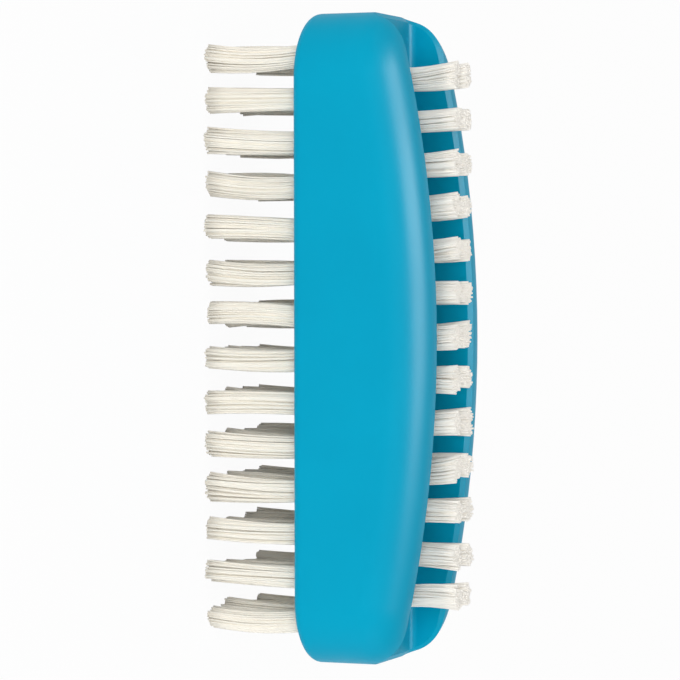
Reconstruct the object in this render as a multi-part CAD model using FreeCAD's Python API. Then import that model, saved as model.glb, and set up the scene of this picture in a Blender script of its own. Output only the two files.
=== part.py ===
import FreeCAD, Part
import math
import os

V = FreeCAD.Vector

# Handle, in plan: a bar with rounded corners
handle_length = 90.0
handle_width = 28.0
plan_corner_radius = 9.2

# Handle, upright: both heights are measured up from the scrub face
floor_height = 9.6
crest_height = 18.8
crest_arc_radius = 180.0
shoulder_radius = 5.5
sole_radius = 1.3

# Channel along the top, open at both ends
channel_width = 14.0
channel_fillet = 1.0
lip_bevel = 0.6

# The least room left between the shoulder and the bevel, or the middle of a rounded corner
shoulder_room = 0.3

# Scrub tufts, on the lower face. The outer ranks and rows stand this far in from the handle's
# ends and sides.
scrub_ranks = 14
scrub_rows = 4
scrub_end_margin = 6.0
scrub_side_margin = 5.0
scrub_trim = 14.5
scrub_hole_depth = 4.7

# Nail tufts, in the channel, each rank halfway between two scrub ranks and the rows this far in
# from the channel's walls
nail_ranks = scrub_ranks - 1
nail_rows = 2
nail_side_margin = 4.8
nail_trim = 10.5
nail_hole_depth = 4.5

# One tuft: a bundle folded round a flat wire anchor, which is pressed across its hole.
# Holes and tufts have flat sides, and their diameters are measured across the flats.
hole_diameter = 3.2
tuft_tip_diameter = 3.5
tuft_sides = 8
fold_thickness = 0.6
anchor_thickness = 0.45
anchor_height = 1.6
clearance = 0.02

# Cuts run past the faces that they open by this much, and points this close are the same
overrun = 1.0
same_place = 0.0001

scrub_face = scrub_trim
channel_floor = scrub_face + floor_height
crest_top = scrub_face + crest_height
half_length = handle_length / 2
half_width = handle_width / 2
wall_thickness = (handle_width - channel_width) / 2
shoulder_limit = min(wall_thickness - lip_bevel, plan_corner_radius) - shoulder_room
rank_pitch = (handle_length - 2 * scrub_end_margin) / (scrub_ranks - 1)
scrub_row_pitch = (handle_width - 2 * scrub_side_margin) / (scrub_rows - 1)
nail_row_pitch = (channel_width - 2 * nail_side_margin) / (nail_rows - 1)
anchor_length = hole_diameter - 2 * clearance


def arc(start, middle, end):
    return Part.Arc(start, middle, end).toShape()


def on_circle(centre, radius, angle):
    return centre + V(radius * math.cos(angle), radius * math.sin(angle), 0)


def bar():
    """The handle's outline seen from above, raised past the crest."""
    height = crest_height + overrun
    block = Part.makeBox(handle_length, handle_width, height, V(-half_length, -half_width, scrub_face))
    upright = [edge for edge in block.Edges if edge.BoundBox.ZLength > crest_height]
    return block.makeFillet(plan_corner_radius, upright)


def under_crest():
    """Everything below the arch that the tops of the walls follow."""
    reach = half_length + overrun
    low = scrub_face - overrun
    near = -half_width - overrun
    drop = crest_arc_radius - math.sqrt(crest_arc_radius**2 - reach**2)
    top = V(0, near, crest_top)
    left = V(-reach, near, crest_top - drop)
    right = V(reach, near, crest_top - drop)
    low_left = V(-reach, near, low)
    low_right = V(reach, near, low)
    edges = [
        Part.makeLine(low_left, low_right),
        Part.makeLine(low_right, right),
        arc(right, top, left),
        Part.makeLine(left, low_left),
    ]
    return Part.Face(Part.Wire(edges)).extrude(V(0, handle_width + 2 * overrun, 0))


def round_outside(block):
    """Rounds the shoulder along the top of the walls and then the edge of the sole."""
    shoulder = [edge for edge in block.Edges if edge.BoundBox.ZMin > channel_floor]
    rounded = block.makeFillet(min(shoulder_radius, shoulder_limit), shoulder)
    sole = [edge for edge in rounded.Edges if edge.BoundBox.ZMax < scrub_face + same_place]
    return rounded.makeFillet(sole_radius, sole)


def channel():
    """The cut along the top, with rounded corners at its floor."""
    start = -half_length - overrun
    wall = channel_width / 2
    top = crest_top + overrun
    inner = wall - channel_fillet
    bend = channel_fillet * math.sqrt(0.5)

    def at(y, z):
        return V(start, y, z)

    edges = [Part.makeLine(at(-inner, channel_floor), at(inner, channel_floor))]
    for side in (-1, 1):
        foot = at(side * inner, channel_floor)
        middle = at(side * (inner + bend), channel_floor + channel_fillet - bend)
        rise = at(side * wall, channel_floor + channel_fillet)
        edges.append(arc(foot, middle, rise))
        edges.append(Part.makeLine(rise, at(side * wall, top)))
    edges.append(Part.makeLine(at(-wall, top), at(wall, top)))
    outline = Part.Wire(Part.__sortEdges__(edges))
    return Part.Face(outline).extrude(V(handle_length + 2 * overrun, 0, 0))


def touches(shape, point):
    return shape.distToShape(Part.Vertex(point))[0] < same_place


def bevel():
    """The size of the bevel, which ends just short of the seam of a rounded corner, not on it."""
    seam = half_width - plan_corner_radius
    on_seam = abs(channel_width / 2 + lip_bevel - seam) < same_place
    return lip_bevel - 2 * same_place if on_seam else lip_bevel


def cut_channel(block):
    """Cuts the channel and bevels the edge where it breaks the outer surface."""
    cutter = channel()
    opened = block.cut(cutter).Solids[0]
    lips = []
    for edge in opened.Edges:
        middle = edge.valueAt((edge.FirstParameter + edge.LastParameter) / 2)
        if touches(block.Shells[0], middle) and touches(cutter.Shells[0], middle):
            lips.append(edge)
    return opened.makeChamfer(bevel(), lips)


def handle(holes):
    """One moulding, shaped outside, opened along the top and drilled."""
    arched = bar().common(under_crest()).Solids[0]
    return cut_channel(round_outside(arched)).cut(holes).Solids[0]


def places(ranks, rows, row_pitch):
    """The rows of tuft centres, one list for each rank across the handle."""
    found = []
    for rank in range(ranks):
        x = (rank - (ranks - 1) / 2) * rank_pitch
        found.append([V(x, (row - (rows - 1) / 2) * row_pitch, 0) for row in range(rows)])
    return found


def ring(diameter, z):
    """The corners of a tuft's outline at one height, with a flat side towards each row."""
    half_side = math.pi / tuft_sides
    corner_radius = diameter / 2 / math.cos(half_side)
    turns = [(2 * side + 1) * half_side for side in range(tuft_sides)]
    return [on_circle(V(0, 0, z), corner_radius, turn) for turn in turns]


def frustum(low, high):
    """A closed solid between two rings of corners."""
    sides = [Part.Face(Part.makePolygon(corners + corners[:1])) for corners in (low, high)]
    for number in range(len(low)):
        follower = (number + 1) % len(low)
        corners = [low[number], low[follower], high[follower], high[number]]
        sides.append(Part.Face(Part.makePolygon(corners + corners[:1])))
    return Part.Solid(Part.Shell(sides))


def hole(depth):
    """A blind hole with its mouth at zero."""
    return frustum(ring(hole_diameter, -depth), ring(hole_diameter, overrun))


def tuft(depth, trim):
    """A bundle that fills its hole at the mouth, spreads to its tip and folds round the anchor."""
    mouth_diameter = hole_diameter - 2 * clearance
    spread = (tuft_tip_diameter - mouth_diameter) / trim
    bundle = frustum(ring(mouth_diameter - spread * depth, -depth), ring(tuft_tip_diameter, trim))
    width = anchor_thickness + 2 * clearance
    window = Part.makeBox(
        width,
        hole_diameter,
        anchor_height + 2 * clearance,
        V(-width / 2, -hole_diameter / 2, fold_thickness - depth),
    )
    return bundle.cut(window).Solids[0]


def anchor(depth):
    return Part.makeBox(
        anchor_thickness,
        anchor_length,
        anchor_height,
        V(-anchor_thickness / 2, -anchor_length / 2, fold_thickness + clearance - depth),
    )


def on_scrub_face(shape, place):
    """Puts a shape made mouth up on the scrub face, pointing down."""
    turned = shape.copy()
    turned.rotate(V(), V(1, 0, 0), 180)
    turned.translate(place + V(0, 0, scrub_face))
    return turned


def on_channel_floor(shape, place):
    return shape.translated(place + V(0, 0, channel_floor))


def build():
    faces = (
        ("scrub", scrub_hole_depth, scrub_trim, on_scrub_face,
         places(scrub_ranks, scrub_rows, scrub_row_pitch)),
        ("nail", nail_hole_depth, nail_trim, on_channel_floor,
         places(nail_ranks, nail_rows, nail_row_pitch)),
    )
    nodes = {}
    holes = []
    for name, depth, trim, put, ranks in faces:
        one_hole, one_tuft, one_anchor = hole(depth), tuft(depth, trim), anchor(depth)
        anchors = []
        for number, rank in enumerate(ranks, 1):
            nodes[f"{name}_tufts_{number:02d}"] = Part.makeCompound([put(one_tuft, at) for at in rank])
            holes += [put(one_hole, at) for at in rank]
            anchors += [put(one_anchor, at) for at in rank]
        nodes[f"{name}_anchors"] = Part.makeCompound(anchors)
    nodes["handle"] = handle(holes)
    return nodes


os.makedirs("parts", exist_ok=True)
for node, shape in build().items():
    shape.exportStep(f"parts/{node}.step")
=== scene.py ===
import math

import bpy
import numpy as np
from mathutils import Matrix, Vector


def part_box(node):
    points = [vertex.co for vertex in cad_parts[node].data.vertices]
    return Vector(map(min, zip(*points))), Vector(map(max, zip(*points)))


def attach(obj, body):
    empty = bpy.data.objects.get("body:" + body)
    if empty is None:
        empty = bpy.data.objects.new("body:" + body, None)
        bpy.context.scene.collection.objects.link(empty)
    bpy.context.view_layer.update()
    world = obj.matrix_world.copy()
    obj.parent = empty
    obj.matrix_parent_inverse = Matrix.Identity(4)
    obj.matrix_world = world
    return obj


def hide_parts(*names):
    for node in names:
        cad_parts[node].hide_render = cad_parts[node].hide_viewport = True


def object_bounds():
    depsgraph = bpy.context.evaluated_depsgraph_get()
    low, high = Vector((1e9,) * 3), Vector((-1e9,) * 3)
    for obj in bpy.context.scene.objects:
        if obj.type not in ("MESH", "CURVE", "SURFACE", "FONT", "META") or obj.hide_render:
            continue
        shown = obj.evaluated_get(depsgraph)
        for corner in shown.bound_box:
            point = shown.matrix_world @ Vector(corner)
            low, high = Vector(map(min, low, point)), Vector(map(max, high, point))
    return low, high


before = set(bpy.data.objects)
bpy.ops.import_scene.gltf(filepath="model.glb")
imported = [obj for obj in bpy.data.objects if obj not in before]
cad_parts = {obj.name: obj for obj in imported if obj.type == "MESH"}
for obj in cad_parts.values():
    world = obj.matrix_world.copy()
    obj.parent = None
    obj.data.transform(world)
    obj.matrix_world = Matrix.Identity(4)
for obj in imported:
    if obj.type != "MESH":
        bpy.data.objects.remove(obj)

CAD_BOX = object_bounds()
MIDDLE = (CAD_BOX[0] + CAD_BOX[1]) / 2
MM = 0.001
FULL_TURN = 2 * math.pi
GOLDEN_ANGLE = math.pi * (3 - math.sqrt(5))

# Camera, fitted to the photograph: it stands in front of the near side and is turned on its side
CAMERA_PLACE = Vector((-10.12, -431.04, 184.85)) * MM
CAMERA_YAW = math.radians(1.385)
CAMERA_PITCH = math.radians(21.367)
CAMERA_ROLL = math.radians(0.403)
CAMERA_FOCAL_PIXELS = 3302.3
CAMERA_CLIP_RANGE = (0.01, 10.0)
IMAGE_PIXELS = 680.0
SENSOR_WIDTH_MM = 36.0

# Tufts, with the depth of their holes and the wire that holds them
DOWN, UP = -1, 1
SCRUB_ROWS = 4
SCRUB_HOLE_DEPTH = 4.7 * MM
NAIL_ROWS = 2
NAIL_HOLE_DEPTH = 4.5 * MM
HOLE_RADIUS = 1.6 * MM
FOLD_THICKNESS = 0.6 * MM
ANCHOR_THICKNESS = 0.45 * MM
ANCHOR_HEIGHT = 1.6 * MM

# One filament and how it strays from its straight line, with the angle in radians
FILAMENTS_PER_TUFT = 120
FILAMENT_RADIUS = 0.14 * MM
FILAMENT_SIDES = 6
FREE_RINGS = 6
HELD_SHARE = 0.8
ANGLE_SPREAD = 0.1
FILAMENT_DRIFT = 0.08 * MM
FLARE_POWER = 1.4

# How the filaments of one tuft stray together
CLUMPS_PER_TUFT = 6
CLUMP_DRIFT = 0.20 * MM
TUFT_LEAN = 0.22 * MM
COMMON_LEAN = -0.3 * MM
TUFT_BEND = 0.22 * MM
TIP_SPREAD_SHARES = (0.85, 1.08)
SEED = 20

# The trim: each filament ends short of the tuft's full height by a share of the unevenness
TRIM_UNEVENNESS = 0.50 * MM
LEAST_CUT_SHARE = 0.1
CUT_SPREAD_SHARE = 0.35
TILT_SPREAD_SHARE = 0.08
MOST_CUT_SHARE = 1.6

# Tones, from the deepest to the palest
PLASTIC_TONES = ((0.0, 0.340, 0.535), (0.0, 0.366, 0.566))
SCRUB_NYLON_TONES = ((0.985, 0.928, 0.822), (0.999, 0.958, 0.868))
NAIL_NYLON_TONES = ((0.90, 0.862, 0.795), (0.95, 0.922, 0.862))
WIRE_TONES = ((0.50, 0.48, 0.44), (0.68, 0.66, 0.62))

# Painted shade on the filaments near the hole, which fades over this share of their free length
PAINTED_ROOT_SHADE_TONES = ((0.93, 0.93, 0.93), (1.0, 1.0, 1.0))
PAINTED_SHADE_LENGTH_SHARE = 0.35

# Roughness, from the smoothest to the roughest spot, and the strength of the gloss
PLASTIC_ROUGHNESS = (0.36, 0.46)
PLASTIC_GLOSS = 0.06
NYLON_ROUGHNESS = (0.38, 0.55)
NYLON_GLOSS = 0.25
WIRE_ROUGHNESS = (0.25, 0.45)

# Noise: its scales in cycles per metre, its stretches along X, Y and Z, and where most values lie
PLASTIC_TONE_SCALE = 45.0
PLASTIC_RUB_SCALE = 120.0
PLASTIC_GRAIN_SCALE = 2600.0
NYLON_STREAK_SCALE = 900.0
WIRE_LINE_SCALE = 3000.0
ALONG_HANDLE = (0.35, 1, 1)
ALONG_FILAMENTS = (1, 1, 0.08)
ALONG_WIRE = (1, 0.05, 1)
NOISE_RANGE = (0.3, 0.7)

# The grain that the mould leaves on the plastic
GRAIN_STRENGTH = 0.12
GRAIN_HEIGHT = 0.05 * MM

# Stage: the floor's size in metres, and the share of plain white that the camera sees
FLOOR_HALF_SIZE = 2.0
FLOOR_COLOUR = (0.95, 0.95, 0.95, 1)
FLOOR_ROUGHNESS = 0.9
FLOOR_WHITE_SHARE = 0.95
WORLD_COLOUR = (1, 1, 1, 1)
WORLD_STRENGTH = 0.44
WORLD_WHITE_SHARE = 1.0


# Nodes and materials

def new_material(name):
    """A material with its node tree, and its Principled shader."""
    material = bpy.data.materials.new(name)
    material.use_nodes = True
    return material, material.node_tree, material.node_tree.nodes["Principled BSDF"]


def noise(tree, scale, detail, stretch=(1, 1, 1)):
    """Noise over the object's own coordinates."""
    place = tree.nodes.new("ShaderNodeTexCoord")
    mapping = tree.nodes.new("ShaderNodeMapping")
    mapping.inputs["Scale"].default_value = stretch
    tree.links.new(place.outputs["Object"], mapping.inputs["Vector"])
    node = tree.nodes.new("ShaderNodeTexNoise")
    node.inputs["Scale"].default_value = scale
    node.inputs["Detail"].default_value = detail
    tree.links.new(mapping.outputs["Vector"], node.inputs["Vector"])
    return node.outputs["Fac"]


def ramp(tree, factor, tones, start=0.0, end=1.0):
    """A colour that runs from the first tone to the last as the factor runs from start to end."""
    node = tree.nodes.new("ShaderNodeValToRGB")
    first, last = node.color_ramp.elements
    first.position, last.position = start, end
    first.color, last.color = [(*tone, 1) for tone in tones]
    tree.links.new(factor, node.inputs["Fac"])
    return node.outputs["Color"]


def spread(tree, factor, limits):
    """Maps a noise value, which keeps near its middle, to a range."""
    node = tree.nodes.new("ShaderNodeMapRange")
    node.inputs["From Min"].default_value, node.inputs["From Max"].default_value = NOISE_RANGE
    node.inputs["To Min"].default_value, node.inputs["To Max"].default_value = limits
    tree.links.new(factor, node.inputs["Value"])
    return node.outputs["Result"]


def bump(tree, height, strength, distance):
    node = tree.nodes.new("ShaderNodeBump")
    node.inputs["Strength"].default_value = strength
    node.inputs["Distance"].default_value = distance
    tree.links.new(height, node.inputs["Height"])
    return node.outputs["Normal"]


def attribute(tree, name):
    node = tree.nodes.new("ShaderNodeAttribute")
    node.attribute_name = name
    return node.outputs["Fac"]


def handle_plastic():
    """Satin turquoise plastic: a little uneven in tone, with the fine grain of its mould."""
    material, tree, shader = new_material("satin_turquoise_plastic")
    tone = noise(tree, PLASTIC_TONE_SCALE, detail=3.0)
    tree.links.new(ramp(tree, tone, PLASTIC_TONES, *NOISE_RANGE), shader.inputs["Base Color"])
    grain = noise(tree, PLASTIC_GRAIN_SCALE, detail=2.0)
    rubbed = noise(tree, PLASTIC_RUB_SCALE, detail=4.0, stretch=ALONG_HANDLE)
    tree.links.new(spread(tree, rubbed, PLASTIC_ROUGHNESS), shader.inputs["Roughness"])
    tree.links.new(bump(tree, grain, GRAIN_STRENGTH, GRAIN_HEIGHT), shader.inputs["Normal"])
    shader.inputs["Specular IOR Level"].default_value = PLASTIC_GLOSS
    return material


def nylon(name, tones):
    """Nylon filaments: each has its own tone, and a painted shade makes all a little darker near the hole.
    """
    material, tree, shader = new_material(name)
    body = ramp(tree, attribute(tree, "own_tone"), tones)
    # Painted shade: the colour is multiplied darker near the hole, fading towards the tips
    painted_shade = ramp(tree, attribute(tree, "along"), PAINTED_ROOT_SHADE_TONES, end=PAINTED_SHADE_LENGTH_SHARE)
    mix = tree.nodes.new("ShaderNodeMix")
    mix.data_type = "RGBA"
    mix.blend_type = "MULTIPLY"
    mix.inputs["Factor"].default_value = 1.0
    tree.links.new(body, mix.inputs["A"])
    tree.links.new(painted_shade, mix.inputs["B"])
    tree.links.new(mix.outputs["Result"], shader.inputs["Base Color"])
    streak = noise(tree, NYLON_STREAK_SCALE, detail=2.0, stretch=ALONG_FILAMENTS)
    tree.links.new(spread(tree, streak, NYLON_ROUGHNESS), shader.inputs["Roughness"])
    shader.inputs["Specular IOR Level"].default_value = NYLON_GLOSS
    return material


def anchor_wire():
    """Drawn flat wire, with fine lines along its length."""
    material, tree, shader = new_material("drawn_wire")
    lines = noise(tree, WIRE_LINE_SCALE, detail=3.0, stretch=ALONG_WIRE)
    tree.links.new(ramp(tree, lines, WIRE_TONES, *NOISE_RANGE), shader.inputs["Base Color"])
    tree.links.new(spread(tree, lines, WIRE_ROUGHNESS), shader.inputs["Roughness"])
    shader.inputs["Metallic"].default_value = 1.0
    return material


# Tufts

def tube(points, turn):
    """Rings of corners round each point of a filament, which runs nearly upright."""
    turns = turn + np.arange(FILAMENT_SIDES) * FULL_TURN / FILAMENT_SIDES
    ring = np.column_stack([np.cos(turns), np.sin(turns), np.zeros(FILAMENT_SIDES)]) * FILAMENT_RADIUS
    return points[:, None, :] + ring[None, :, :]


def tube_faces(first, rings, direction):
    """The sides and the two ends of a tube, whose corners are numbered from the first one, ring by ring."""
    sides = range(FILAMENT_SIDES)

    def corner(ring, side):
        return first + ring * FILAMENT_SIDES + side % FILAMENT_SIDES

    faces = []
    for ring in range(rings - 1):
        for side in sides:
            low = [corner(ring, side), corner(ring, side + 1)]
            high = [corner(ring + 1, side + 1), corner(ring + 1, side)]
            faces.append(low + high)
    faces.append([corner(0, side) for side in reversed(sides)])
    faces.append([corner(rings - 1, side) for side in sides])
    return faces if direction == UP else [face[::-1] for face in faces]


def filament_lines(depth, trim, tip_radius, rng):
    """Each filament of one tuft as a line of points, from beside the anchor, past the mouth of the hole
    at zero, to the trimmed tip."""
    mouth_radius = HOLE_RADIUS - FILAMENT_RADIUS
    spread_share = rng.uniform(*TIP_SPREAD_SHARES)
    lean = rng.normal(0, TUFT_LEAN, 2) + (COMMON_LEAN, 0)
    clump_drifts = rng.normal(0, CLUMP_DRIFT, (CLUMPS_PER_TUFT, 2))
    bend = rng.normal(0, TUFT_BEND, 2)
    tilt = rng.normal(0, TILT_SPREAD_SHARE, 2)
    fold = FOLD_THICKNESS - depth
    beside_anchor = ANCHOR_THICKNESS / 2 + FILAMENT_RADIUS
    lines = []
    for number in range(FILAMENTS_PER_TUFT):
        share = math.sqrt((number + 0.5) / FILAMENTS_PER_TUFT)
        angle = number * GOLDEN_ANGLE + rng.normal(0, ANGLE_SPREAD)
        place = np.array([math.cos(angle), math.sin(angle)]) * share
        mouth = place * mouth_radius
        held = mouth * HELD_SHARE
        held[0] = math.copysign(max(abs(held[0]), beside_anchor), held[0])
        clump = int((angle % FULL_TURN) / FULL_TURN * CLUMPS_PER_TUFT)
        drift = lean + clump_drifts[clump] + rng.normal(0, FILAMENT_DRIFT, 2)
        tip = place * (tip_radius - FILAMENT_RADIUS) * spread_share + drift
        cut = abs(rng.normal(0, CUT_SPREAD_SHARE)) + LEAST_CUT_SHARE + float(place @ tilt)
        length = trim - TRIM_UNEVENNESS * min(max(cut, 0.0), MOST_CUT_SHARE)
        points = [(*held, fold), (*held, fold + ANCHOR_HEIGHT)]
        for ring in range(FREE_RINGS):
            along = ring / (FREE_RINGS - 1)
            strayed = mouth + (tip - mouth) * along ** FLARE_POWER + bend * math.sin(math.pi * along)
            points.append((*strayed, length * along))
        lines.append(np.array(points))
    return lines


def tuft_mesh(name, feet, direction, depth, trim, tip_radius, rng):
    """One mesh with the filaments of all the tufts of a rank."""
    corners, faces, tones, alongs = [], [], [], []
    for foot in feet:
        for line in filament_lines(depth, trim, tip_radius, rng):
            line[:, 2] *= direction
            rings = tube(line + foot, rng.uniform(0, FULL_TURN))
            faces += tube_faces(len(corners), len(line), direction)
            corners.extend(rings.reshape(-1, 3))
            tones.extend([rng.uniform()] * len(line) * FILAMENT_SIDES)
            heights = np.clip(direction * line[:, 2] / trim, 0, 1)
            alongs.extend(np.repeat(heights, FILAMENT_SIDES))
    mesh = bpy.data.meshes.new(name)
    mesh.from_pydata(corners, [], faces)
    for key, values in (("own_tone", tones), ("along", alongs)):
        values = np.array(values, np.float32)
        mesh.attributes.new(key, "FLOAT", "POINT").data.foreach_set("value", values)
    round_sides = [len(face) == 4 for face in faces]
    mesh.polygons.foreach_set("use_smooth", round_sides)
    return mesh


def make_tufts(kind, rows, depth, direction, material):
    """A piece of filaments for each rank of tufts, in place of its plain solids."""
    ranks = sorted(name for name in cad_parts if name.startswith(f"{kind}_tufts"))
    for number, node in enumerate(ranks, 1):
        rng = np.random.default_rng([SEED, rows, number])
        low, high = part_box(node)
        tip_radius = (high.x - low.x) / 2
        trim = high.z - low.z - depth
        mouth = low.z + depth if direction == UP else high.z - depth
        across = np.linspace(low.y + tip_radius, high.y - tip_radius, rows)
        feet = [np.array(((low.x + high.x) / 2, y, mouth)) for y in across]
        mesh = tuft_mesh(f"{kind}_bristles_{number:02d}", feet, direction, depth, trim, tip_radius, rng)
        mesh.materials.append(material)
        piece = bpy.data.objects.new(mesh.name, mesh)
        bpy.context.scene.collection.objects.link(piece)
        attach(piece, "root")
        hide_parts(node)


def dress_node(name, material):
    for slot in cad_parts[name].material_slots:
        slot.material = material


# Stage

def background_mix(tree, plain, white_share):
    """Adds white to a shader where the camera, or a reflection, sees it."""
    path = tree.nodes.new("ShaderNodeLightPath")
    seen = path.outputs["Is Camera Ray"]
    for ray in ("Is Glossy Ray", "Is Transmission Ray"):
        either = tree.nodes.new("ShaderNodeMath")
        either.operation = "MAXIMUM"
        tree.links.new(seen, either.inputs[0])
        tree.links.new(path.outputs[ray], either.inputs[1])
        seen = either.outputs["Value"]
    share = tree.nodes.new("ShaderNodeMath")
    share.operation = "MULTIPLY"
    share.inputs[1].default_value = white_share
    tree.links.new(seen, share.inputs[0])
    white = tree.nodes.new("ShaderNodeEmission")
    mix = tree.nodes.new("ShaderNodeMixShader")
    tree.links.new(share.outputs["Value"], mix.inputs["Fac"])
    tree.links.new(plain, mix.inputs[1])
    tree.links.new(white.outputs["Emission"], mix.inputs[2])
    return mix.outputs["Shader"]


def make_floor():
    """A square at the height of the scrub tufts' tips, which keeps the object's shadow."""
    signs = ((-1, -1), (1, -1), (1, 1), (-1, 1))
    corners = [(x * FLOOR_HALF_SIZE, y * FLOOR_HALF_SIZE, CAD_BOX[0].z) for x, y in signs]
    mesh = bpy.data.meshes.new("floor")
    mesh.from_pydata(corners, [], [(0, 1, 2, 3)])
    material, tree, shader = new_material("pale_floor")
    shader.inputs["Base Color"].default_value = FLOOR_COLOUR
    shader.inputs["Roughness"].default_value = FLOOR_ROUGHNESS
    shader.inputs["Specular IOR Level"].default_value = 0.0
    seen = background_mix(tree, shader.outputs["BSDF"], FLOOR_WHITE_SHARE)
    tree.links.new(seen, tree.nodes["Material Output"].inputs["Surface"])
    mesh.materials.append(material)
    floor = bpy.data.objects.new("floor", mesh)
    bpy.context.scene.collection.objects.link(floor)


def make_world():
    world = bpy.data.worlds.new("studio")
    world.use_nodes = True
    tree = world.node_tree
    plain = tree.nodes["Background"]
    plain.inputs["Color"].default_value = WORLD_COLOUR
    plain.inputs["Strength"].default_value = WORLD_STRENGTH
    seen = background_mix(tree, plain.outputs["Background"], WORLD_WHITE_SHARE)
    tree.links.new(seen, tree.nodes["World Output"].inputs["Surface"])
    bpy.context.scene.world = world


def area_light(name, place, size, watts, diffuse=True):
    """A lamp that points at the object and is seen either in matt shading or in the gloss."""
    data = bpy.data.lights.new(name, "AREA")
    data.shape = "RECTANGLE"
    data.size, data.size_y = size
    data.energy = watts
    light = bpy.data.objects.new(name, data)
    light.location = place
    light.visible_diffuse = diffuse
    light.visible_glossy = not diffuse
    light.rotation_euler = (MIDDLE - Vector(place)).to_track_quat("-Z", "Y").to_euler()
    bpy.context.scene.collection.objects.link(light)


def make_lights():
    """Soft light from the front, the back and both ends, and one lamp overhead for the gloss."""
    area_light("front_softbox", place=(-0.02, -0.62, 0.28), size=(0.45, 0.35), watts=2.2)
    area_light("back_softbox", place=(0.15, 0.60, 0.35), size=(0.5, 0.4), watts=0.5)
    area_light("left_softbox", place=(-0.55, -0.15, 0.12), size=(0.35, 0.35), watts=0.4)
    area_light("right_softbox", place=(0.55, -0.15, 0.12), size=(0.35, 0.35), watts=0.7)
    area_light("overhead_gloss", place=(-0.10, -0.04, 0.50), size=(0.34, 0.38), watts=15.0, diffuse=False)


def make_camera():
    """The brush stands on its end in the photograph, so its upper side points to the right there."""
    look = Vector((
        math.sin(CAMERA_YAW) * math.cos(CAMERA_PITCH),
        math.cos(CAMERA_YAW) * math.cos(CAMERA_PITCH),
        -math.sin(CAMERA_PITCH),
    ))
    along = Vector((math.cos(CAMERA_YAW), -math.sin(CAMERA_YAW), 0))
    upward = along.cross(look)
    image_right = upward * math.cos(CAMERA_ROLL) - along * math.sin(CAMERA_ROLL)
    image_up = -(upward * math.sin(CAMERA_ROLL) + along * math.cos(CAMERA_ROLL))
    data = bpy.data.cameras.new("camera")
    data.sensor_width = SENSOR_WIDTH_MM
    data.lens = CAMERA_FOCAL_PIXELS * SENSOR_WIDTH_MM / IMAGE_PIXELS
    data.clip_start, data.clip_end = CAMERA_CLIP_RANGE
    camera = bpy.data.objects.new("camera", data)
    turn = Matrix((image_right, image_up, -look)).transposed().to_4x4()
    camera.matrix_world = Matrix.Translation(CAMERA_PLACE) @ turn
    bpy.context.scene.collection.objects.link(camera)
    bpy.context.scene.camera = camera


dress_node("handle", handle_plastic())
wire = anchor_wire()
dress_node("scrub_anchors", wire)
dress_node("nail_anchors", wire)
make_tufts("scrub", SCRUB_ROWS, SCRUB_HOLE_DEPTH, DOWN, nylon("scrub_nylon", SCRUB_NYLON_TONES))
make_tufts("nail", NAIL_ROWS, NAIL_HOLE_DEPTH, UP, nylon("nail_nylon", NAIL_NYLON_TONES))

make_camera()
make_floor()
make_world()
make_lights()
bpy.context.scene.view_settings.view_transform = "Standard"
